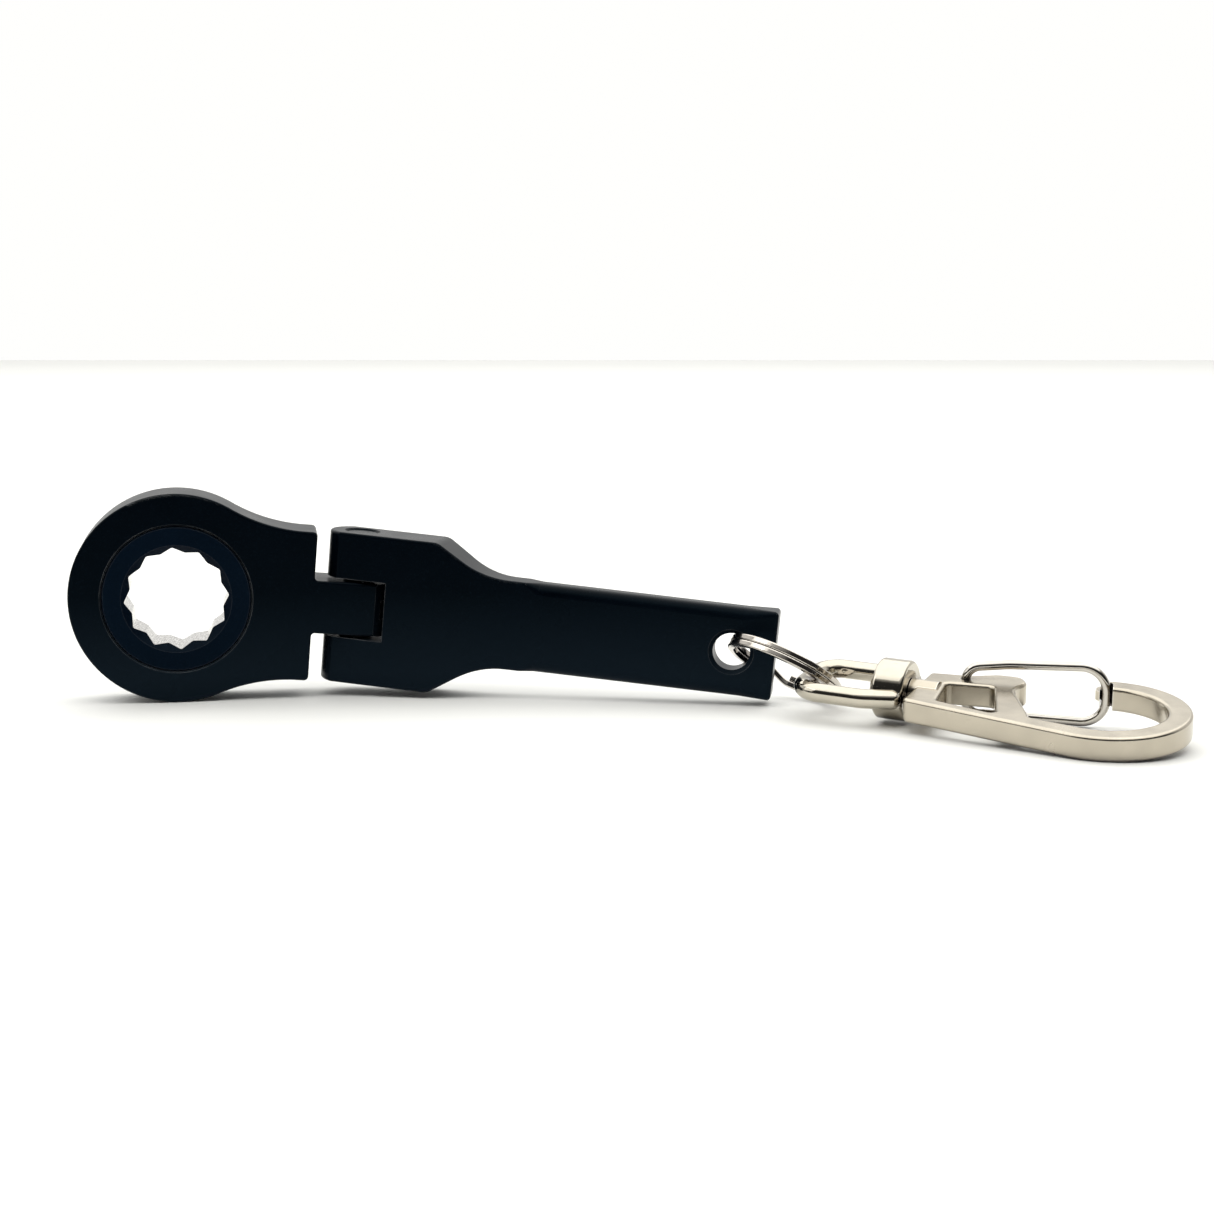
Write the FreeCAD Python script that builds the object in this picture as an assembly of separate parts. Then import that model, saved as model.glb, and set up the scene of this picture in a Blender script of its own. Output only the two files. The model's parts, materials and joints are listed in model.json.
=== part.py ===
import FreeCAD, Part
import os
from math import cos, sin, tan, pi, radians, atan2

# Keychain flex-head ratcheting ring wrench with a split ring, a swivel loop and a wire-gate snap hook.
# Millimetres, +Z up, origin on the floor under the middle of the bounding box. The head points to -X.
# The parts lie as the object does on a table: the wrench on edge, the hook leaning on its gate.

V = FreeCAD.Vector

# Where each group lies: position of its local origin, then yaw, slope and roll in degrees.
PIN_POS = V(-28.9, 224.3, 9.92)
HANDLE_TURN = (-8.8, 5.3, 0.0)
FLEX_REST = 19.0
HOOK_POS = V(30.94, 207.1, 3.40)
HOOK_TURN = (-27.97, 2.13, 8.26)
RING_POS = V(19.80, 214.78, 4.37)
RING_NORMAL = V(0.446, 0.313, 0.838)

# Head, measured from the gear's centre: x towards the handle, y through the gear, z across.
HEAD_R = 11.9
HEAD_T = 6.5
NECK_X = 14.2
NECK_Z = 30.4
NECK_R = 21.8
NECK_HALF = 8.6
SHOULDER_X = 15.2
TONGUE_HALF = 3.05
PIN_X = 20.4
TONGUE_END_R = 3.7
HEAD_EDGE = 0.3
GEAR_HOLE_R = 8.30
GEAR_HOLE_Y = -1.95
GEAR_HOLE_CHAMFER = 0.15
CAVITY_R = 9.15
GROOVE_R = 9.65
GROOVE_Y = 2.05
GROOVE_W = 0.60
POCKET_T = 3.8
POCKET_W = 6.4
POCKET_X = 13.2
SPRING_BORE_R = 1.1
SPRING_BORE_X = 16.8
PIN_HOLE_R = 1.90
NOTCH_SPAN = 38
NOTCH_STEP = 19
NOTCH_DEPTH = 0.35
NOTCH_R = 1.15

# Ratchet gear
HUB_R = 8.22
HUB_HALF = 3.20
HUB_CHAMFER = 0.12
TEETH = 72
TOOTH_ROOT_R = 8.50
TOOTH_TIP_R = 9.00
TOOTH_HALF = 1.85
SOCKET_AF = 10.1
SOCKET_TIP_ROUND = 0.35
SOCKET_CREST_ROUND = 0.5
SOCKET_TURN = 8.3
SOCKET_LEAD_R = 6.12
SOCKET_LEAD_DEPTH = 1.0

# Pawl, its spring and the retaining ring
PAWL_T = 3.6
PAWL_W = 6.0
PAWL_X0 = 8.3
PAWL_X1 = 12.4
PAWL_GAP = 0.04
CLIP_R = 9.60
CLIP_INNER_R = 8.45
CLIP_Y = 2.10
CLIP_T = 0.50
CLIP_GAP = 3.0
SPRING_R = 0.75
SPRING_WIRE = 0.30
PAWL_SPRING_TURNS = 6
DETENT_SPRING_TURNS = 9

# Handle, measured from the flex pin: x towards the key ring, y through, z across
FORK_T = 6.3
FORK_HALF = 8.7
EAR_R = 3.65
FORK_CORNER_X = 9.58
FORK_CORNER_ROUND = 1.8
SLOPE_END_X = 15.16
SLOPE_ROUND = 10.0
GRIP_ROOT_HALF = 5.15
GRIP_END_HALF = 5.05
HANDLE_END_X = 48.65
GRIP_T = 3.8
TAPER_X0 = 8.5
TAPER_X1 = 19.5
GRIP_ROUND = 1.3
GRIP_ROUND_X = (19.9, 21.4, 45.0, 48.7)
HANDLE_EDGE = 0.3
SLOT_HALF = 3.4
SLOT_X = 3.95
KEY_HOLE_X = 43.75
KEY_HOLE_R = 2.1
KEY_HOLE_CHAMFER = 0.45
PIN_R = 1.85
PIN_HALF = 8.5
PIN_CHAMFER = 0.2
PIN_SEAT_CHAMFER = 0.25
DETENT_BORE_R = 1.1
DETENT_BORE_X = 12.0
DETENT_BALL_R = 1.0
DETENT_BALL_X = 4.73

# Split ring, two turns of flattened wire
RING_R = 6.32
RING_AXIAL = 0.68
RING_RADIAL = 0.86
RING_CORNER = 0.16
RING_GAP = 0.03
RING_STEP_DEG = 26.0
RING_START_DEG = 100.0

# Swivel loop, measured from the middle of its collar: x along the hook's shank
COLLAR_R = 3.3
COLLAR_X0 = -1.6
COLLAR_X1 = 1.9
COLLAR_EDGE = 0.4
COLLAR_BORE_R = 1.31
LOOP_BAR_R = 1.05
LOOP_X = -9.6
LOOP_HALF = 4.2
LOOP_ROOT_HALF = 3.3
LOOP_CORNER_R = 2.5

# Snap hook, in the same frame: the plate lies in x, y with its middle a little under the shank
PLATE_Z = -0.30
PLATE_T = 2.6
PLATE_EDGE = 0.38
SHANK_R = 1.25
NECK_ROUND_R = 1.45
NECK_X0 = 2.0
NECK_X1 = 5.0
PEEN_R = 1.75
PEEN_X = -1.7
PEEN_H = 1.0
BOW_X = 22.7
BOW_R = 8.69
BOW_INNER_R = 6.2

# Wire gate
GATE_WIRE_R = 0.5
GATE_HALF = 3.15
GATE_ROOT_HALF = 2.6
GATE_PIVOT = (6.8, 3.45)
GATE_END = (21.0, 7.2)
GATE_HOLE_R = 0.56
CATCH_R = 0.70
CATCH_SWING_DEG = 6
PEG_X = 19.8
PEG_ROOT_X = 20.35
PEG_HALF = 0.55
GATE_HOLE_DEPTH = 1.0
GATE_LEG_DEPTH = 0.8


def polar(radius, degrees):
    angle = radians(degrees)
    return radius * cos(angle), radius * sin(angle)


def rounded_edges(points, radii, closed=True):
    """Straight edges through the points, each corner replaced by a tangent arc of its radius."""
    count = len(points)
    edges = []
    cuts = []
    for i, corner in enumerate(points):
        radius = radii[i]
        at_end = not closed and i in (0, count - 1)
        if at_end or radius <= 0:
            cuts.append((corner, None, corner))
            continue
        back = (points[i - 1] - corner).normalize()
        ahead = (points[(i + 1) % count] - corner).normalize()
        half = back.getAngle(ahead) / 2
        reach = radius / tan(half)
        middle = corner + (back + ahead).normalize() * (radius / sin(half) - radius)
        cuts.append((corner + back * reach, middle, corner + ahead * reach))
    for i, (start, middle, end) in enumerate(cuts):
        if middle is not None:
            edges.append(Part.Arc(start, middle, end).toShape())
        if i + 1 < count or closed:
            following = cuts[(i + 1) % count][0]
            if (following - end).Length > 1e-6:
                edges.append(Part.LineSegment(end, following).toShape())
    return edges


def side_prism(corners, half):
    """Outline of (x, z, radius) corners pushed through y from -half to +half."""
    points = [V(x, -half, z) for x, z, _ in corners]
    wire = Part.Wire(rounded_edges(points, [r for _, _, r in corners]))
    return Part.Face(wire).extrude(V(0, 2 * half, 0))


def plan_prism(corners, z_low, z_high):
    """Outline of (x, y, radius) corners pushed through z."""
    points = [V(x, y, z_low) for x, y, _ in corners]
    wire = Part.Wire(rounded_edges(points, [r for _, _, r in corners]))
    return Part.Face(wire).extrude(V(0, 0, z_high - z_low))


def y_cylinder(radius, y0, y1, x=0.0, z=0.0):
    return Part.makeCylinder(radius, y1 - y0, V(x, y0, z), V(0, 1, 0))


def x_cylinder(radius, x0, x1, y=0.0, z=0.0):
    return Part.makeCylinder(radius, x1 - x0, V(x0, y, z), V(1, 0, 0))


def y_cone(r0, r1, y0, y1, x=0.0):
    return Part.makeCone(r0, r1, y1 - y0, V(x, y0, 0), V(0, 1, 0))


def z_cone(r0, r1, z0, z1):
    return Part.makeCone(r0, r1, z1 - z0, V(0, 0, z0), V(0, 0, 1))


def fillet_where(shape, radius, wanted):
    edges = [edge for edge in shape.Edges if wanted(edge)]
    return shape.makeFillet(radius, edges)


def edge_middle(edge):
    return edge.valueAt((edge.FirstParameter + edge.LastParameter) / 2)


def coil(radius, wire, length, turns):
    """Compression spring along +x from x = 0, its wire just inside both ends."""
    run = length - wire
    helix = Part.makeHelix(run / turns, run, radius)
    start = V(radius, 0, 0)
    profile = Part.Wire(Part.makeCircle(wire / 2, start, V(0, 1, 0)))
    spring = Part.Wire(helix.Edges).makePipeShell([profile], True, True)
    spring.rotate(V(0, 0, 0), V(0, 1, 0), 90)
    spring.translate(V(wire / 2, 0, 0))
    return spring


def head_outline(half):
    """Disc, concave neck and square shoulders, with the tongue running on past the pin."""
    swing = atan2(NECK_Z, NECK_X)
    touch = V(HEAD_R * cos(swing), -half, HEAD_R * sin(swing))
    neck_end = V(NECK_X, -half, NECK_HALF)
    bend = (swing + pi / 2) / 2
    on_neck = V(NECK_X - NECK_R * cos(bend), -half, NECK_Z - NECK_R * sin(bend))
    far = V(-HEAD_R, -half, 0)

    def below(point):
        return V(point.x, point.y, -point.z)

    tongue = [
        V(SHOULDER_X, -half, NECK_HALF),
        V(SHOULDER_X, -half, TONGUE_HALF),
        V(PIN_X + TONGUE_END_R + 1, -half, TONGUE_HALF),
        V(PIN_X + TONGUE_END_R + 1, -half, -TONGUE_HALF),
        V(SHOULDER_X, -half, -TONGUE_HALF),
        V(SHOULDER_X, -half, -NECK_HALF),
    ]
    path = [neck_end] + tongue + [below(neck_end)]
    radii = [0, 0.5, 0.4, 0, 0, 0.4, 0.5, 0]
    edges = rounded_edges(path, radii, closed=False)
    edges.append(Part.Arc(below(neck_end), below(on_neck), below(touch)).toShape())
    edges.append(Part.Arc(below(touch), far, touch).toShape())
    edges.append(Part.Arc(touch, on_neck, neck_end).toShape())
    return Part.Wire(Part.__sortEdges__(edges))


def make_head_body():
    half = HEAD_T / 2
    body = Part.Face(head_outline(half)).extrude(V(0, HEAD_T, 0))
    plan = Part.makeBox(PIN_X + 40, HEAD_T + 2, 40, V(-40, -half - 1, -20))
    plan = plan.fuse(Part.makeCylinder(TONGUE_END_R, 40, V(PIN_X, 0, -20)))
    body = body.common(plan)

    def rim(edge):
        box = edge.BoundBox
        flat = box.YLength < 1e-6 and abs(abs(box.YMin) - half) < 1e-6
        return flat and box.XMin < PIN_X - 1

    body = fillet_where(body, HEAD_EDGE, rim)
    body = body.cut(y_cylinder(GEAR_HOLE_R, -half - 1, 0))
    body = body.cut(y_cylinder(CAVITY_R, GEAR_HOLE_Y, half + 1))
    body = body.cut(y_cylinder(GROOVE_R, GROOVE_Y, GROOVE_Y + GROOVE_W))
    flare = GEAR_HOLE_CHAMFER
    body = body.cut(y_cone(GEAR_HOLE_R + flare, GEAR_HOLE_R, -half, -half + flare))
    body = body.cut(y_cone(CAVITY_R, CAVITY_R + flare, half - flare, half))
    pocket = Part.makeBox(POCKET_X, POCKET_T, POCKET_W, V(0, -POCKET_T / 2, -POCKET_W / 2))
    body = body.cut(pocket)
    body = body.cut(x_cylinder(SPRING_BORE_R, POCKET_X - 1, SPRING_BORE_X))
    body = body.cut(Part.makeCylinder(PIN_HOLE_R, 20, V(PIN_X, 0, -10)))
    for step in range(-NOTCH_SPAN, NOTCH_SPAN + 1, NOTCH_STEP):
        x, y = polar(TONGUE_END_R + NOTCH_R - NOTCH_DEPTH, step)
        notch = Part.makeCylinder(NOTCH_R, 2.2, V(PIN_X + x, y, -1.1))
        body = body.cut(notch)
    return body


def gear_points(root, tip):
    points = []
    step = 360.0 / TEETH
    for i in range(TEETH):
        for radius, turn in ((tip, (i + 0.5) * step), (root, (i + 1) * step)):
            x, z = polar(radius, turn)
            points.append(V(x, -TOOTH_HALF, z))
    return points


def toothed_disc(root, tip):
    points = gear_points(root, tip)
    wire = Part.makePolygon(points + points[:1])
    return Part.Face(wire).extrude(V(0, 2 * TOOTH_HALF, 0))


def socket_star():
    """Twelve-point socket: the outline that two hexagons make, with rounded tips and crests."""
    tip = SOCKET_AF / 2 / cos(pi / 6)
    crest = SOCKET_AF / 2 / cos(pi / 12)
    corners = []
    for i in range(12):
        x, z = polar(tip, 30 * i + SOCKET_TURN)
        corners.append((x, z, SOCKET_TIP_ROUND))
        x, z = polar(crest, 30 * i + 15 + SOCKET_TURN)
        corners.append((x, z, SOCKET_CREST_ROUND))
    return side_prism(corners, HUB_HALF + 1)


def make_ratchet_gear():
    gear = y_cylinder(HUB_R, -HUB_HALF, HUB_HALF)

    def rim(edge):
        return edge.BoundBox.YLength < 1e-6

    gear = gear.makeChamfer(HUB_CHAMFER, [edge for edge in gear.Edges if rim(edge)])
    gear = gear.fuse(toothed_disc(TOOTH_ROOT_R, TOOTH_TIP_R))
    gear = gear.cut(socket_star())
    low = SOCKET_LEAD_R - SOCKET_LEAD_DEPTH
    inner = HUB_HALF - SOCKET_LEAD_DEPTH
    gear = gear.cut(y_cone(SOCKET_LEAD_R, low, -HUB_HALF, -inner))
    gear = gear.cut(y_cone(low, SOCKET_LEAD_R, inner, HUB_HALF))
    return gear


def make_pawl():
    """Sliding block with teeth that match the gear's."""
    size = V(PAWL_X0, -PAWL_T / 2, -PAWL_W / 2)
    block = Part.makeBox(PAWL_X1 - PAWL_X0, PAWL_T, PAWL_W, size)
    block = block.cut(toothed_disc(TOOTH_ROOT_R + PAWL_GAP, TOOTH_TIP_R + PAWL_GAP))

    def outer_corner(edge):
        middle = edge_middle(edge)
        return abs(middle.x - PAWL_X1) < 1e-6 and edge.BoundBox.YLength > 1
    return fillet_where(block, 0.5, outer_corner)


def make_pawl_spring():
    length = SPRING_BORE_X - PAWL_X1 - 0.04
    spring = coil(SPRING_R, SPRING_WIRE, length, PAWL_SPRING_TURNS)
    spring.translate(V(PAWL_X1 + 0.02, 0, 0))
    return spring


def make_retaining_ring():
    """Flat C-ring that snaps into the groove behind the gear's teeth."""
    ring = y_cylinder(CLIP_R, CLIP_Y, CLIP_Y + CLIP_T)
    ring = ring.cut(y_cylinder(CLIP_INNER_R, CLIP_Y - 1, CLIP_Y + CLIP_T + 1))
    gap = Part.makeBox(CLIP_R + 1, 4, CLIP_GAP, V(-CLIP_R - 1, CLIP_Y - 1, -CLIP_GAP / 2))
    return ring.cut(gap)


def handle_side():
    root = GRIP_ROOT_HALF
    end = GRIP_END_HALF
    upper = [
        (-EAR_R - 1, FORK_HALF, 0),
        (FORK_CORNER_X, FORK_HALF, FORK_CORNER_ROUND),
        (SLOPE_END_X, root, SLOPE_ROUND),
        (HANDLE_END_X, end, 0.5),
    ]
    lower = [(x, -z, r) for x, z, r in reversed(upper)]
    return side_prism(upper + lower, FORK_T / 2)


def handle_plan():
    """Round ear ends, full thickness over the fork, then an S-curve down to the grip."""
    thick = FORK_T / 2
    thin = GRIP_T / 2
    span = TAPER_X1 - TAPER_X0
    drop = thick - thin
    radius = (span * span + drop * drop) / (4 * drop)
    middle_x = (TAPER_X0 + TAPER_X1) / 2
    middle_y = (thick + thin) / 2
    sweep = atan2(span / 2, radius - drop / 2) / 2
    first = (TAPER_X0 + radius * sin(sweep), thick - radius * (1 - cos(sweep)))
    second = (TAPER_X1 - radius * sin(sweep), thin + radius * (1 - cos(sweep)))
    ear_x = -(EAR_R ** 2 - thick ** 2) ** 0.5
    z = -12

    def at(x, y):
        return V(x, y, z)

    def arc(a, b, c):
        return Part.Arc(at(*a), at(*b), at(*c)).toShape()

    def line(a, b):
        return Part.LineSegment(at(*a), at(*b)).toShape()

    def mirrored(point):
        return point[0], -point[1]

    ear = (ear_x, thick)
    start = (TAPER_X0, thick)
    middle = (middle_x, middle_y)
    finish = (TAPER_X1, thin)
    corner = (HANDLE_END_X + 1, thin)
    edges = [
        arc(mirrored(ear), (-EAR_R, 0), ear),
        line(ear, start),
        arc(start, first, middle),
        arc(middle, second, finish),
        line(finish, corner),
        line(corner, mirrored(corner)),
        line(mirrored(corner), mirrored(finish)),
        arc(mirrored(finish), mirrored(second), mirrored(middle)),
        arc(mirrored(middle), mirrored(first), mirrored(start)),
        line(mirrored(start), mirrored(ear)),
    ]
    return Part.Face(Part.Wire(edges)).extrude(V(0, 0, -2 * z))


def grip_rounding(side_y, side_z):
    """What is taken off one long edge of the grip: a rounding that runs out at both ends."""
    slope = (GRIP_END_HALF - GRIP_ROOT_HALF) / (HANDLE_END_X - SLOPE_END_X)
    radii = (HANDLE_EDGE + 0.05, GRIP_ROUND, GRIP_ROUND, HANDLE_EDGE + 0.05)
    sections = []
    for x, r in zip(GRIP_ROUND_X, radii):
        y = GRIP_T / 2
        z = GRIP_ROOT_HALF + slope * (x - SLOPE_END_X)
        lean = r * (1 - cos(pi / 4))

        def at(py, pz):
            return V(x, side_y * py, side_z * pz)

        edges = [
            Part.Arc(at(y, z - r), at(y - lean, z - lean), at(y - r, z)).toShape(),
            Part.LineSegment(at(y - r, z), at(y - r, z + 1)).toShape(),
            Part.LineSegment(at(y - r, z + 1), at(y + 1, z + 1)).toShape(),
            Part.LineSegment(at(y + 1, z + 1), at(y + 1, z - r)).toShape(),
            Part.LineSegment(at(y + 1, z - r), at(y, z - r)).toShape(),
        ]
        sections.append(Part.Wire(edges))
    return Part.makeLoft(sections, True, True)


def make_handle_body():
    body = handle_side().common(handle_plan())
    half = GRIP_T / 2

    def edge_kind(edge):
        box = edge.BoundBox
        middle = edge_middle(edge)
        top = abs(abs(middle.z) - FORK_HALF) < 1e-6 and box.ZLength < 1e-6
        side = abs(middle.y) > half - 1e-6 and box.YLength < FORK_T - 1e-6
        end = middle.x > HANDLE_END_X - 1
        return (top or side or end) and box.XMax > -EAR_R - 0.1

    body = fillet_where(body, HANDLE_EDGE, edge_kind)
    for side_y in (-1, 1):
        for side_z in (-1, 1):
            body = body.cut(grip_rounding(side_y, side_z))
    slot = Part.makeBox(SLOT_X + 10, 20, 2 * SLOT_HALF, V(-10, -10, -SLOT_HALF))
    body = body.cut(slot)
    body = body.cut(Part.makeCylinder(PIN_R, 30, V(0, 0, -15)))
    seat = PIN_SEAT_CHAMFER
    body = body.cut(z_cone(PIN_R, PIN_R + seat, FORK_HALF - seat, FORK_HALF))
    body = body.cut(z_cone(PIN_R + seat, PIN_R, -FORK_HALF, -FORK_HALF + seat))
    body = body.cut(x_cylinder(DETENT_BORE_R, SLOT_X - 1, DETENT_BORE_X))
    body = body.cut(y_cylinder(KEY_HOLE_R, -5, 5, KEY_HOLE_X))
    flare = KEY_HOLE_CHAMFER
    wide = KEY_HOLE_R + flare
    body = body.cut(y_cone(wide, KEY_HOLE_R, -half, -half + flare, KEY_HOLE_X))
    body = body.cut(y_cone(KEY_HOLE_R, wide, half - flare, half, KEY_HOLE_X))
    return body


def make_flex_pin():
    pin = Part.makeCylinder(PIN_R, 2 * PIN_HALF, V(0, 0, -PIN_HALF))
    ends = [edge for edge in pin.Edges if edge.BoundBox.ZLength < 1e-6]
    return pin.makeChamfer(PIN_CHAMFER, ends)


def make_detent_ball():
    """Ball that clicks into the tongue's notches, drawn pressed back clear of the tongue."""
    return Part.makeSphere(DETENT_BALL_R, V(DETENT_BALL_X, 0, 0))


def make_detent_spring():
    start = DETENT_BALL_X + DETENT_BALL_R * 0.72
    spring = coil(SPRING_R, SPRING_WIRE, DETENT_BORE_X - start - 0.02, DETENT_SPRING_TURNS)
    spring.translate(V(start, 0, 0))
    return spring


def ring_section(turn, level):
    """Rounded rectangle across the ring's wire, at an angle round the ring and a height."""
    inner = RING_R - RING_RADIAL / 2
    outer = RING_R + RING_RADIAL / 2
    low = level - RING_AXIAL / 2
    high = level + RING_AXIAL / 2
    x, y = polar(1, turn)
    corners = ((inner, low), (outer, low), (outer, high), (inner, high))
    points = [V(r * x, r * y, z) for r, z in corners]
    return Part.Wire(rounded_edges(points, [RING_CORNER] * 4))


def make_split_ring():
    """One wire wound twice round: two flat turns joined by a step beside its two ends."""
    level = (RING_AXIAL + RING_GAP) / 2
    sweep = 360 - RING_STEP_DEG
    axis = V(0, 0, 1)
    first = Part.Face(ring_section(RING_START_DEG, -level)).revolve(V(), axis, sweep)
    step_start = RING_START_DEG + sweep
    step_end = step_start + RING_STEP_DEG
    sections = []
    pieces = 8
    for i in range(pieces + 1):
        share = i / pieces
        smooth = share * share * (3 - 2 * share)
        turn = step_start + RING_STEP_DEG * share
        sections.append(ring_section(turn, level * (2 * smooth - 1)))
    step = Part.makeLoft(sections, True, False)
    second = Part.Face(ring_section(step_end, level)).revolve(V(), axis, sweep)
    ring = first.fuse([step, second])
    return ring.removeSplitter()


def bent_bar(points, radii, wire_r):
    """Round wire along straight runs joined by tangent arcs."""
    path = Part.Wire(rounded_edges(points, radii, closed=False))
    direction = points[1] - points[0]
    profile = Part.Wire(Part.makeCircle(wire_r, points[0], direction))
    return path.makePipeShell([profile], True, False)


def make_swivel_loop():
    collar = x_cylinder(COLLAR_R, COLLAR_X0, COLLAR_X1)
    rims = [edge for edge in collar.Edges if edge.BoundBox.XLength < 1e-6]
    collar = collar.makeFillet(COLLAR_EDGE, rims)
    root = COLLAR_X1 - LOOP_BAR_R
    points = [
        V(root, LOOP_ROOT_HALF, 0),
        V(-2.2, LOOP_HALF, 0),
        V(LOOP_X, LOOP_HALF, 0),
        V(LOOP_X, -LOOP_HALF, 0),
        V(-2.2, -LOOP_HALF, 0),
        V(root, -LOOP_ROOT_HALF, 0),
    ]
    corner = LOOP_CORNER_R
    bar = bent_bar(points, [0, 3.0, corner, corner, 3.0, 0], LOOP_BAR_R)
    caps = [Part.makeSphere(LOOP_BAR_R, points[0]), Part.makeSphere(LOOP_BAR_R, points[-1])]
    loop = collar.fuse([bar] + caps).removeSplitter()
    return loop.cut(x_cylinder(COLLAR_BORE_R, -5, 5))


def hook_plate():
    """Near rim, round bow and nose, then back along the inside to the strut and the gate's boss."""
    low = PLATE_Z - PLATE_T / 2
    bow = V(BOW_X, 0, low)

    def at(x, y):
        return V(x, y, low)

    def on(radius, degrees):
        x, y = polar(radius, degrees)
        return bow + V(x, y, 0)

    start = 259.0
    finish = 101.0
    outer = [
        at(15.7, -3.9), at(12.4, 2.2), at(13.3, 4.6), at(12.2, 6.25), at(9.6, 6.1), at(7.0, 4.75),
        at(2.7, 4.1), at(2.7, -5.2), on(BOW_R, start),
    ]
    rounds = [0, 2.5, 1.4, 1.4, 1.6, 3.0, 0.5, 0.7, 0]
    edges = rounded_edges(outer, rounds, closed=False)
    edges.append(Part.Arc(on(BOW_R, start), on(BOW_R, 0), on(BOW_R, finish)).toShape())
    nose = [
        on(BOW_R, finish), at(PEG_X, 8.3), at(PEG_X, 7.2), at(20.5, 6.6), on(BOW_INNER_R, finish - 4),
    ]
    edges += rounded_edges(nose, [0, 0.5, 0.45, 0.5, 0], closed=False)
    edges.append(Part.Arc(on(BOW_INNER_R, finish - 4), on(BOW_INNER_R, 0), on(BOW_INNER_R, start)).toShape())
    inner = [on(BOW_INNER_R, start), at(16.4, -5.35), at(15.7, -3.9)]
    edges += rounded_edges(inner, [0, 0.8, 0], closed=False)
    plate = Part.Face(Part.Wire(edges)).extrude(V(0, 0, PLATE_T))
    window = plan_prism([
        (5.3, 1.5, 0.6), (6.1, -4.1, 0.6), (12.9, -5.6, 0.5), (10.3, 2.2, 0.8),
    ], low - 1, low + PLATE_T + 1)
    return plate.cut(window)


def make_hook_body():
    plate = hook_plate()

    def flat_edge(edge):
        box = edge.BoundBox
        return box.ZLength < 1e-6

    plate = fillet_where(plate, PLATE_EDGE, flat_edge)
    px, py = GATE_PIVOT
    for swing in range(0, CATCH_SWING_DEG + 1, 2):
        catch = Part.makeCylinder(CATCH_R, 8, V(GATE_END[0], GATE_END[1], -4))
        catch.rotate(V(px, py, 0), V(0, 0, 1), -swing)
        plate = plate.cut(catch)
    for side in (-1, 1):
        middle = PLATE_Z + side * (PEG_HALF + 1)
        size = V(PEG_X - 1, GATE_END[1] - 2, middle - 1)
        plate = plate.cut(Part.makeBox(PEG_ROOT_X - PEG_X + 1, 4, 2, size))
    neck = x_cylinder(NECK_ROUND_R, NECK_X0, NECK_X1)
    shank = x_cylinder(SHANK_R, PEEN_X, NECK_X0)
    dome_r = (PEEN_R ** 2 + PEEN_H ** 2) / (2 * PEEN_H)
    dome = Part.makeSphere(dome_r, V(PEEN_X - PEEN_H + dome_r, 0, 0))
    dome = dome.common(x_cylinder(PEEN_R, PEEN_X - PEEN_H - 0.1, PEEN_X))
    hook = plate.fuse([neck, shank, dome])
    top = PLATE_Z + PLATE_T / 2
    low = PLATE_Z - PLATE_T / 2
    hook = hook.cut(Part.makeCylinder(GATE_HOLE_R, 2, V(px, py, top - GATE_HOLE_DEPTH)))
    hook = hook.cut(Part.makeCylinder(GATE_HOLE_R, 2, V(px, py, low + GATE_HOLE_DEPTH - 2)))
    return hook


def make_wire_gate():
    top = PLATE_Z + GATE_HALF
    low = PLATE_Z - GATE_HALF
    inside = PLATE_T / 2 - GATE_LEG_DEPTH
    px, py = GATE_PIVOT
    ex, ey = GATE_END
    points = [
        V(px, py, PLATE_Z + inside),
        V(px, py, PLATE_Z + GATE_ROOT_HALF),
        V(11.0, 5.05, PLATE_Z + (GATE_ROOT_HALF + GATE_HALF) / 2),
        V(ex, ey, top),
        V(ex, ey, low),
        V(11.0, 5.05, PLATE_Z - (GATE_ROOT_HALF + GATE_HALF) / 2),
        V(px, py, PLATE_Z - GATE_ROOT_HALF),
        V(px, py, PLATE_Z - inside),
    ]
    return bent_bar(points, [0, 1.6, 6.0, 2.6, 2.6, 6.0, 1.6, 0], GATE_WIRE_R)


def turn(yaw, slope, roll):
    return FreeCAD.Rotation(yaw, slope, roll)


def head_placement():
    handle = FreeCAD.Placement(PIN_POS, turn(*HANDLE_TURN))
    flex = FreeCAD.Placement(V(), FreeCAD.Rotation(V(0, 0, 1), FLEX_REST))
    shift = FreeCAD.Placement(V(-PIN_X, 0, 0), FreeCAD.Rotation())
    return handle.multiply(flex).multiply(shift)


PLACES = {
    "head": head_placement(),
    "handle": FreeCAD.Placement(PIN_POS, turn(*HANDLE_TURN)),
    "ring": FreeCAD.Placement(RING_POS, FreeCAD.Rotation(V(0, 0, 1), RING_NORMAL)),
    "hook": FreeCAD.Placement(HOOK_POS, turn(*HOOK_TURN)),
}

PIECES = [
    ("head_body", "head", make_head_body),
    ("ratchet_gear", "head", make_ratchet_gear),
    ("pawl", "head", make_pawl),
    ("pawl_spring", "head", make_pawl_spring),
    ("retaining_ring", "head", make_retaining_ring),
    ("handle_body", "handle", make_handle_body),
    ("flex_pin", "handle", make_flex_pin),
    ("detent_ball", "handle", make_detent_ball),
    ("detent_spring", "handle", make_detent_spring),
    ("split_ring", "ring", make_split_ring),
    ("swivel_loop", "hook", make_swivel_loop),
    ("hook_body", "hook", make_hook_body),
    ("wire_gate", "hook", make_wire_gate),
]


def build():
    shapes = {}
    total = FreeCAD.BoundBox()
    for name, place, make in PIECES:
        shape = make()
        shape = shape.Solids[0] if len(shape.Solids) == 1 else shape
        shape.Placement = PLACES[place].multiply(shape.Placement)
        box = shape.optimalBoundingBox(False)
        total.add(box)
        shapes[name] = shape
    shift = V(-total.Center.x, -total.Center.y, -total.ZMin)
    for shape in shapes.values():
        shape.translate(shift)
    return shapes, shift


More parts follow.
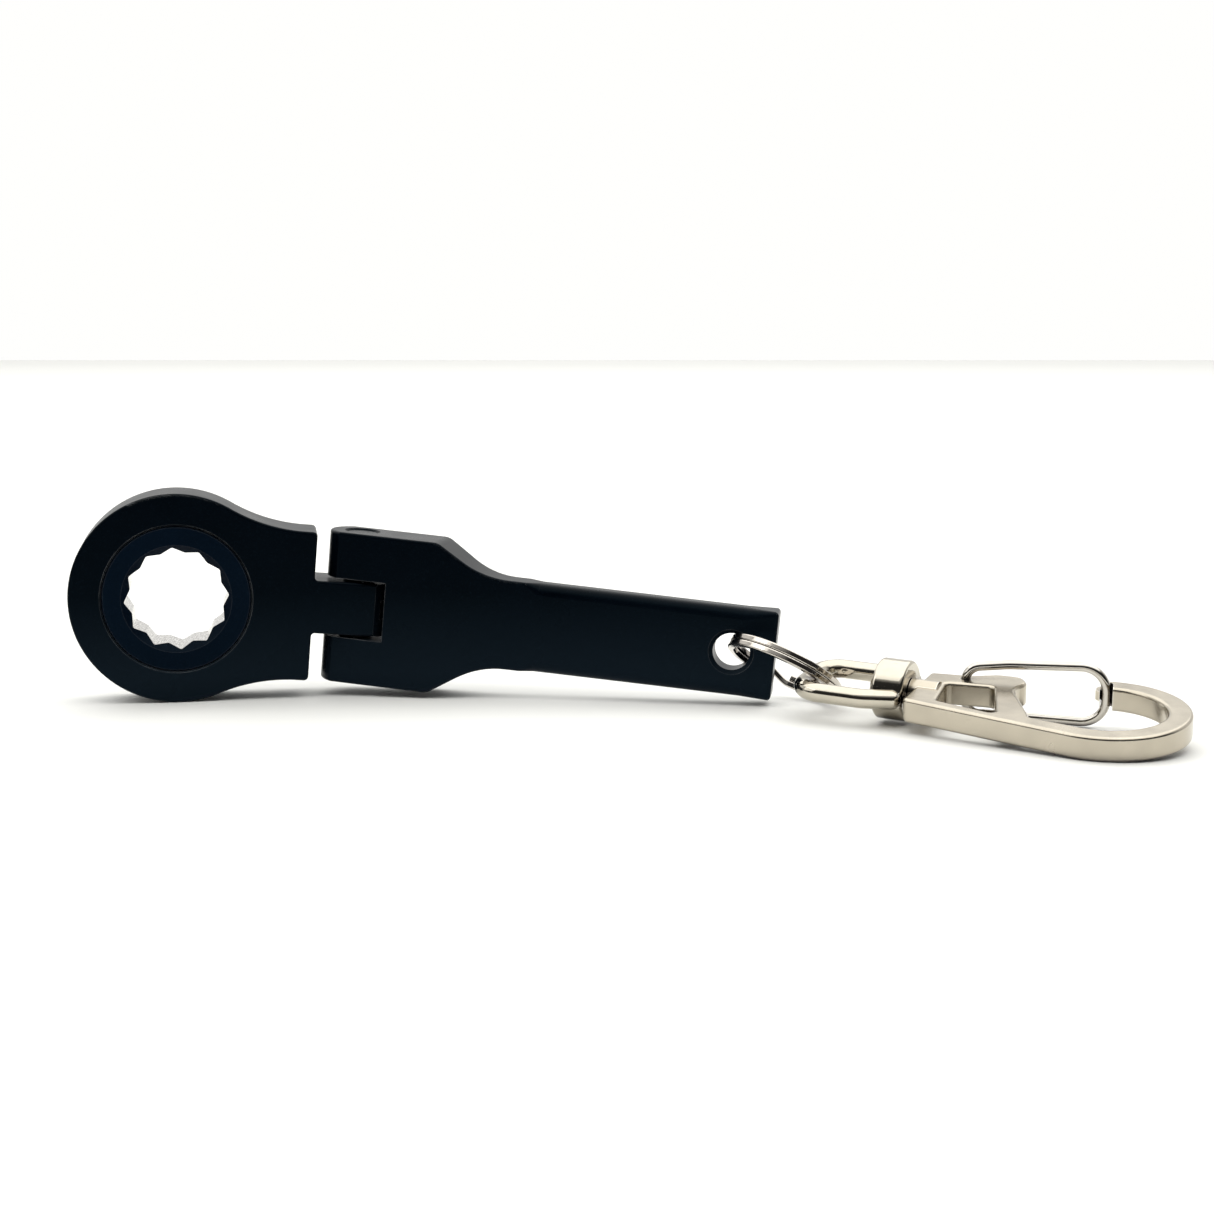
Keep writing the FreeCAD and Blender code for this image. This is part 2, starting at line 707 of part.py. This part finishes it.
def main():
    os.makedirs("parts", exist_ok=True)
    shapes, shift = build()
    for name, shape in shapes.items():
        shape.exportStep(os.path.join("parts", name + ".step"))
        box = shape.optimalBoundingBox(False)
        low = (round(box.XMin, 2), round(box.YMin, 2), round(box.ZMin, 2))
        high = (round(box.XMax, 2), round(box.YMax, 2), round(box.ZMax, 2))
        print(name, len(shape.Solids), shape.isValid(), round(shape.Volume, 2), low, high)
    print("shift", shift)


main()
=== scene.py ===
import bpy
import json
from math import radians
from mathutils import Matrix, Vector

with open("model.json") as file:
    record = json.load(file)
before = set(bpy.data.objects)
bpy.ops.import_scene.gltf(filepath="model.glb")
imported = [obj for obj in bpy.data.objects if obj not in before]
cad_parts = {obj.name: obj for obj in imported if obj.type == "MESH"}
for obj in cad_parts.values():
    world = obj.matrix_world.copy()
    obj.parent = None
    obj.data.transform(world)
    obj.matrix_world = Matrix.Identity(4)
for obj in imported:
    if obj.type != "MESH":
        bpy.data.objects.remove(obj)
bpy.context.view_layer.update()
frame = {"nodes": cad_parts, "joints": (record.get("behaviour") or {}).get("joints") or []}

# Camera: metres in the model's frame, degrees, millimetres of lens on a 36 mm sensor
CAMERA_POS = (0.00072, -0.20781, 0.04468)
CAMERA_PITCH = 8.8
CAMERA_LENS = 58.1

# Floor: a square plane that ends a little in front of what the camera sees
FLOOR_SIZE = 1.5
FLOOR_FRONT_Y = -0.13

# Lights: place, aim, size in metres and power in watts
OVERHEAD_PLACE = (0.0, 0.30, 0.70)
OVERHEAD_AIM = (0, 0.30, 0)
OVERHEAD_SIZE = (1.6, 1.6)
OVERHEAD_POWER = 9.0
LEFT_PLACE = (-0.5, -0.12, 0.32)
LEFT_AIM = (0, 0, 0.01)
LEFT_SIZE = (0.35, 0.35)
LEFT_POWER = 0.5

# Black satin: the same gloss on the wrench and on the gear's faces
SATIN_SPECULAR = 0.10
SATIN_TINT = (0.18, 0.28, 0.34, 1)
GEAR_TINT = (0.22, 0.36, 0.46, 1)
WHITE = (1.0, 1.0, 1.0, 1)
STUDIO_WHITE = (1.0, 0.999, 0.985, 1)

# Ratchet gear, metres: where its bare bore starts and ends
BORE_R = (0.00588, 0.00592)
CONE_OFFSET = (0.00294, 0.00297)
FACE_DEPTH = (0.00314, 0.00318)

# How far, in metres, a painted floor reflection makes the black finish lighter towards the bottom of the
# object at rest
PAINTED_FLOOR_REFLECTION_SPAN = (0.003, 0.0125)


def joint(name):
    return next(j for j in frame["joints"] if j["name"] == name)


def new_material(name):
    material = bpy.data.materials.new(name)
    material.use_nodes = True
    return material, material.node_tree.nodes, material.node_tree.links


def add(nodes, kind, **settings):
    node = nodes.new(kind)
    for key, value in settings.items():
        setattr(node, key, value)
    return node


def noise(nodes, links, source, scale, detail=3.0, roughness=0.55, stretch=None):
    """Noise in object space; stretch is a scale along x, y and z before the noise."""
    texture = add(nodes, "ShaderNodeTexNoise")
    texture.inputs["Scale"].default_value = scale
    texture.inputs["Detail"].default_value = detail
    texture.inputs["Roughness"].default_value = roughness
    if stretch:
        mapping = add(nodes, "ShaderNodeMapping")
        mapping.inputs["Scale"].default_value = stretch
        links.new(source, mapping.inputs["Vector"])
        source = mapping.outputs["Vector"]
    links.new(source, texture.inputs["Vector"])
    return texture.outputs["Fac"]


def ramp(nodes, links, value, low, high, start=0.0, end=1.0):
    """Maps a value from start..end to low..high, clamped."""
    node = add(nodes, "ShaderNodeMapRange")
    node.inputs["From Min"].default_value = start
    node.inputs["From Max"].default_value = end
    node.inputs["To Min"].default_value = low
    node.inputs["To Max"].default_value = high
    links.new(value, node.inputs["Value"])
    return node.outputs["Result"]


def mix_colour(nodes, links, factor, first, second):
    node = add(nodes, "ShaderNodeMix", data_type="RGBA")
    links.new(factor, node.inputs["Factor"])
    for socket, colour in ((node.inputs["A"], first), (node.inputs["B"], second)):
        if isinstance(colour, tuple):
            socket.default_value = colour
        else:
            links.new(colour, socket)
    return node.outputs["Result"]


def mix_value(nodes, links, factor, first, second):
    node = add(nodes, "ShaderNodeMix", data_type="FLOAT")
    links.new(factor, node.inputs["Factor"])
    for socket, value in ((node.inputs["A"], first), (node.inputs["B"], second)):
        if isinstance(value, float):
            socket.default_value = value
        else:
            links.new(value, socket)
    return node.outputs["Result"]


def maths(nodes, links, operation, first, second=None, clamp=False):
    node = add(nodes, "ShaderNodeMath", operation=operation, use_clamp=clamp)
    for socket, value in zip(node.inputs, (first, second)):
        if value is None:
            continue
        if isinstance(value, float):
            socket.default_value = value
        else:
            links.new(value, socket)
    return node.outputs["Value"]


def bump(nodes, links, height, distance, strength=1.0, base=None):
    node = add(nodes, "ShaderNodeBump")
    node.inputs["Strength"].default_value = strength
    node.inputs["Distance"].default_value = distance
    links.new(height, node.inputs["Height"])
    if base is not None:
        links.new(base, node.inputs["Normal"])
    return node.outputs["Normal"]


def edge_mask(nodes, links, radius, low, high):
    """1 on sharp outer edges, 0 on flats: how far a bevelled normal leans from the true one."""
    bevel = add(nodes, "ShaderNodeBevel", samples=6)
    bevel.inputs["Radius"].default_value = radius
    geometry = add(nodes, "ShaderNodeNewGeometry")
    dot = add(nodes, "ShaderNodeVectorMath", operation="DOT_PRODUCT")
    links.new(bevel.outputs["Normal"], dot.inputs[0])
    links.new(geometry.outputs["True Normal"], dot.inputs[1])
    return ramp(nodes, links, dot.outputs["Value"], 1.0, 0.0, low, high)


def black_satin():
    """Black finish over steel: bluish, fine grain, a painted floor reflection making it lighter low
    down, and lighter edges that are partly wear and partly painted highlight.
    """
    material, nodes, links = new_material("black_satin_finish")
    shader = nodes["Principled BSDF"]
    place = add(nodes, "ShaderNodeTexCoord").outputs["Object"]
    cloud = noise(nodes, links, place, 160, 4)
    fleck = noise(nodes, links, place, 5200, 2)
    colour = mix_colour(nodes, links, ramp(nodes, links, cloud, 0.0, 1.0, 0.35, 0.68),
                        (0.0003, 0.0012, 0.0028, 1), (0.0006, 0.0018, 0.0040, 1))
    colour = mix_colour(nodes, links, ramp(nodes, links, fleck, 0.0, 0.55, 0.55, 0.78),
                        colour, (0.0040, 0.0085, 0.0140, 1))
    height = add(nodes, "ShaderNodeSeparateXYZ")
    links.new(place, height.inputs["Vector"])
    # Painted reflection: the floor's reflection is painted into the black colour, lighter towards the
    # bottom of the object at rest.
    painted_floor_reflection = ramp(nodes, links, height.outputs["Z"], 0.9, 0.0, *PAINTED_FLOOR_REFLECTION_SPAN)
    colour = mix_colour(nodes, links, painted_floor_reflection, colour, (0.0062, 0.0112, 0.0175, 1))
    # Lighter edges: partly wear, partly a painted highlight along the edges.
    edge_wear_and_highlight = edge_mask(nodes, links, 0.00014, 0.90, 0.995)
    patch = noise(nodes, links, place, 420, 3)
    edge_wear_and_highlight = maths(nodes, links, "MULTIPLY", edge_wear_and_highlight, ramp(nodes, links, patch, 0.3, 1.0, 0.42, 0.66))
    colour = mix_colour(nodes, links, edge_wear_and_highlight, colour, (0.13, 0.135, 0.14, 1))
    links.new(colour, shader.inputs["Base Color"])
    rough = ramp(nodes, links, cloud, 0.25, 0.33, 0.3, 0.7)
    rough = mix_value(nodes, links, edge_wear_and_highlight, rough, 0.27)
    links.new(rough, shader.inputs["Roughness"])
    shader.inputs["Metallic"].default_value = 0.0
    shader.inputs["Specular IOR Level"].default_value = SATIN_SPECULAR
    shader.inputs["Specular Tint"].default_value = SATIN_TINT
    grain = noise(nodes, links, place, 9000, 2)
    normal = bump(nodes, links, grain, 0.000010, 0.3)
    dents = noise(nodes, links, place, 700, 3)
    normal = bump(nodes, links, dents, 0.00002, 0.25, normal)
    links.new(normal, shader.inputs["Normal"])
    return material


def nickel(name, tint, roughness, wear=0.5):
    """Nickel plate: warm grey, softly polished, with faint hazing, painted shade that darkens its
    hollows, and lighter edges that are partly wear and partly painted highlight.
    """
    material, nodes, links = new_material(name)
    shader = nodes["Principled BSDF"]
    place = add(nodes, "ShaderNodeTexCoord").outputs["Object"]
    cloud = noise(nodes, links, place, 260, 4)
    speck = noise(nodes, links, place, 2600, 2)
    dark = tuple(c * 0.86 for c in tint) + (1,)
    colour = mix_colour(nodes, links, ramp(nodes, links, cloud, 0.0, 1.0, 0.35, 0.68), dark, tint + (1,))
    stain = maths(nodes, links, "MULTIPLY", ramp(nodes, links, speck, 0.0, wear, 0.60, 0.80),
                  ramp(nodes, links, cloud, 0.0, 1.0, 0.45, 0.7))
    colour = mix_colour(nodes, links, stain, colour, (0.30, 0.26, 0.22, 1))
    # Lighter edges: partly wear, partly a painted highlight along the edges.
    edge_wear_and_highlight = edge_mask(nodes, links, 0.00016, 0.90, 0.995)
    colour = mix_colour(nodes, links, edge_wear_and_highlight, colour, (0.86, 0.83, 0.76, 1))
    # Painted shade: ambient occlusion darkens the nickel's colour in hollows and close to other parts,
    # where shade falls.
    open_air = add(nodes, "ShaderNodeAmbientOcclusion", samples=8)
    open_air.inputs["Distance"].default_value = 0.0016
    painted_hollow_shade = ramp(nodes, links, open_air.outputs["AO"], 0.0, 1.0, 0.15, 0.75)
    colour = mix_colour(nodes, links, painted_hollow_shade, (0.10, 0.085, 0.085, 1), colour)
    links.new(colour, shader.inputs["Base Color"])
    rough = ramp(nodes, links, cloud, roughness * 0.8, roughness * 1.25, 0.3, 0.7)
    rough = mix_value(nodes, links, edge_wear_and_highlight, rough, roughness * 0.6)
    links.new(rough, shader.inputs["Roughness"])
    shader.inputs["Metallic"].default_value = 1.0
    normal = bump(nodes, links, noise(nodes, links, place, 900, 3), 0.00002, 0.2)
    normal = bump(nodes, links, speck, 0.000005, 0.2, normal)
    links.new(normal, shader.inputs["Normal"])
    return material


def steel(name, tint, roughness):
    """Plain machined or drawn steel."""
    material, nodes, links = new_material(name)
    shader = nodes["Principled BSDF"]
    place = add(nodes, "ShaderNodeTexCoord").outputs["Object"]
    cloud = noise(nodes, links, place, 500, 4)
    fine = noise(nodes, links, place, 4200, 3)
    colour = mix_colour(nodes, links, ramp(nodes, links, cloud, 0.0, 1.0, 0.3, 0.7),
                        tuple(c * 0.75 for c in tint) + (1,), tint + (1,))
    links.new(colour, shader.inputs["Base Color"])
    links.new(ramp(nodes, links, fine, roughness * 0.75, roughness * 1.3, 0.3, 0.7),
              shader.inputs["Roughness"])
    shader.inputs["Metallic"].default_value = 1.0
    links.new(bump(nodes, links, fine, 0.000006, 0.3), shader.inputs["Normal"])
    return material


def gear_finish():
    """Black faces like the head's, and a bare machined bore with fine lines along it."""
    material, nodes, links = new_material("gear_black_with_bare_bore")
    shader = nodes["Principled BSDF"]
    spin = joint("gear_spin")
    centre = Vector(spin["pos_m"])
    axis = Vector(spin["axis"]).normalized()
    place = add(nodes, "ShaderNodeTexCoord").outputs["Object"]
    offset = add(nodes, "ShaderNodeVectorMath", operation="SUBTRACT")
    links.new(place, offset.inputs[0])
    offset.inputs[1].default_value = centre
    across = add(nodes, "ShaderNodeVectorMath", operation="CROSS_PRODUCT")
    links.new(offset.outputs["Vector"], across.inputs[0])
    across.inputs[1].default_value = axis
    length = add(nodes, "ShaderNodeVectorMath", operation="LENGTH")
    links.new(across.outputs["Vector"], length.inputs[0])
    along = add(nodes, "ShaderNodeVectorMath", operation="DOT_PRODUCT")
    links.new(offset.outputs["Vector"], along.inputs[0])
    along.inputs[1].default_value = axis
    depth = maths(nodes, links, "ABSOLUTE", along.outputs["Value"])
    inside = ramp(nodes, links, length.outputs["Value"], 1.0, 0.0, *BORE_R)
    # the lead-in cone is black like the face: bare steel starts where the cone meets the bore
    cone = maths(nodes, links, "SUBTRACT", length.outputs["Value"], depth)
    straight = ramp(nodes, links, cone, 0.0, 1.0, *CONE_OFFSET)
    reach = ramp(nodes, links, depth, 1.0, 0.0, *FACE_DEPTH)
    bare = maths(nodes, links, "MULTIPLY", maths(nodes, links, "MULTIPLY", inside, reach), straight)
    cloud = noise(nodes, links, place, 160, 4)
    fleck = noise(nodes, links, place, 5200, 2)
    black = mix_colour(nodes, links, ramp(nodes, links, cloud, 0.0, 1.0, 0.35, 0.68),
                       (0.0005, 0.0030, 0.0085, 1), (0.0010, 0.0042, 0.0110, 1))
    black = mix_colour(nodes, links, ramp(nodes, links, fleck, 0.0, 0.5, 0.55, 0.78),
                       black, (0.0050, 0.0110, 0.0210, 1))
    # Lighter edges: partly wear, partly a painted highlight along the gear's edges.
    edge_wear_and_highlight = edge_mask(nodes, links, 0.00012, 0.90, 0.995)
    black = mix_colour(nodes, links, maths(nodes, links, "MULTIPLY", edge_wear_and_highlight, 0.5), black,
                       (0.07, 0.075, 0.085, 1))
    lines = noise(nodes, links, offset.outputs["Vector"], 1.0, 3, 0.6, (9000, 900, 9000))
    metal = mix_colour(nodes, links, ramp(nodes, links, lines, 0.0, 1.0, 0.35, 0.65),
                       (0.42, 0.40, 0.38, 1), (0.80, 0.79, 0.76, 1))
    links.new(mix_colour(nodes, links, bare, black, metal), shader.inputs["Base Color"])
    links.new(bare, shader.inputs["Metallic"])
    links.new(mix_value(nodes, links, bare, ramp(nodes, links, cloud, 0.29, 0.38, 0.3, 0.7), 0.24),
              shader.inputs["Roughness"])
    shader.inputs["Specular IOR Level"].default_value = SATIN_SPECULAR
    links.new(mix_colour(nodes, links, bare, GEAR_TINT, WHITE), shader.inputs["Specular Tint"])
    grain = noise(nodes, links, place, 9000, 2)
    height = mix_value(nodes, links, bare, grain, lines)
    links.new(bump(nodes, links, height, 0.000012, 0.35), shader.inputs["Normal"])
    return material


def floor_material():
    """Pale matt floor with a faint cloudiness."""
    material, nodes, links = new_material("studio_floor")
    shader = nodes["Principled BSDF"]
    place = add(nodes, "ShaderNodeTexCoord").outputs["Object"]
    cloud = noise(nodes, links, place, 9, 2)
    colour = mix_colour(nodes, links, cloud, (0.90, 0.90, 0.875, 1), (0.92, 0.92, 0.895, 1))
    links.new(colour, shader.inputs["Base Color"])
    shader.inputs["Roughness"].default_value = 0.75
    shader.inputs["Specular IOR Level"].default_value = 0.25
    return material


def dress(node, material):
    for slot in frame["nodes"][node].material_slots:
        slot.material = material


def make_materials():
    satin = black_satin()
    for node in ("head_body", "handle_body"):
        dress(node, satin)
    dress("flex_pin", steel("blackened_pin", (0.045, 0.048, 0.052), 0.42))
    dress("ratchet_gear", gear_finish())
    dress("pawl", steel("hardened_steel", (0.30, 0.29, 0.28), 0.35))
    spring = steel("spring_steel", (0.55, 0.54, 0.52), 0.28)
    for node in ("pawl_spring", "retaining_ring", "detent_spring", "detent_ball"):
        dress(node, spring)
    dress("split_ring", nickel("ring_nickel", (0.56, 0.52, 0.47), 0.09, 0.3))
    dress("swivel_loop", nickel("loop_nickel", (0.56, 0.52, 0.435), 0.10, 0.5))
    dress("hook_body", nickel("hook_nickel", (0.52, 0.47, 0.385), 0.22, 0.55))
    dress("wire_gate", nickel("gate_nickel", (0.58, 0.55, 0.50), 0.07, 0.25))


def make_floor():
    bpy.ops.mesh.primitive_plane_add(size=FLOOR_SIZE, location=(0, FLOOR_FRONT_Y + FLOOR_SIZE / 2, 0))
    floor = bpy.context.object
    floor.name = "floor"
    floor.data.materials.append(floor_material())


def area_light(name, place, target, size, power, colour):
    data = bpy.data.lights.new(name, "AREA")
    data.shape = "RECTANGLE"
    data.size, data.size_y = size
    data.energy = power
    data.color = colour
    lamp = bpy.data.objects.new(name, data)
    bpy.context.collection.objects.link(lamp)
    lamp.location = place
    aim = Vector(target) - Vector(place)
    lamp.rotation_euler = aim.to_track_quat("-Z", "Y").to_euler()


def make_lights():
    area_light("overhead_softbox", OVERHEAD_PLACE, OVERHEAD_AIM, OVERHEAD_SIZE, OVERHEAD_POWER,
               (1.0, 0.998, 0.975))
    area_light("left_softbox", LEFT_PLACE, LEFT_AIM, LEFT_SIZE, LEFT_POWER, (1.0, 0.99, 0.97))
    world = bpy.data.worlds.new("studio")
    bpy.context.scene.world = world
    world.use_nodes = True
    nodes, links = world.node_tree.nodes, world.node_tree.links
    sky = nodes["Background"]
    place = add(nodes, "ShaderNodeTexCoord").outputs["Generated"]
    split = add(nodes, "ShaderNodeSeparateXYZ")
    links.new(place, split.inputs["Vector"])
    front = ramp(nodes, links, split.outputs["Y"], 0.03, 0.95, -0.3, 0.3)
    up = ramp(nodes, links, split.outputs["Z"], 0.0, 1.0, 0.5, 0.85)
    level = maths(nodes, links, "MAXIMUM", front, up)
    # dark in front and bright above and behind for the reflections, plain white where it is seen
    colour = mix_colour(nodes, links, level, (0.0, 0.0, 0.0, 1), STUDIO_WHITE)
    seen = add(nodes, "ShaderNodeLightPath").outputs["Is Camera Ray"]
    colour = mix_colour(nodes, links, seen, colour, STUDIO_WHITE)
    links.new(colour, sky.inputs["Color"])
    sky.inputs["Strength"].default_value = 1.0


def make_camera():
    data = bpy.data.cameras.new("camera")
    data.lens = CAMERA_LENS
    data.sensor_width = 36.0
    data.clip_start = 0.001
    camera = bpy.data.objects.new("camera", data)
    bpy.context.collection.objects.link(camera)
    camera.location = CAMERA_POS
    camera.rotation_euler = (radians(90.0 - CAMERA_PITCH), 0, 0)
    bpy.context.scene.camera = camera
    view = bpy.context.scene.view_settings
    view.view_transform = "Standard"
    view.look = "None"


make_camera()
make_materials()
make_floor()
make_lights()
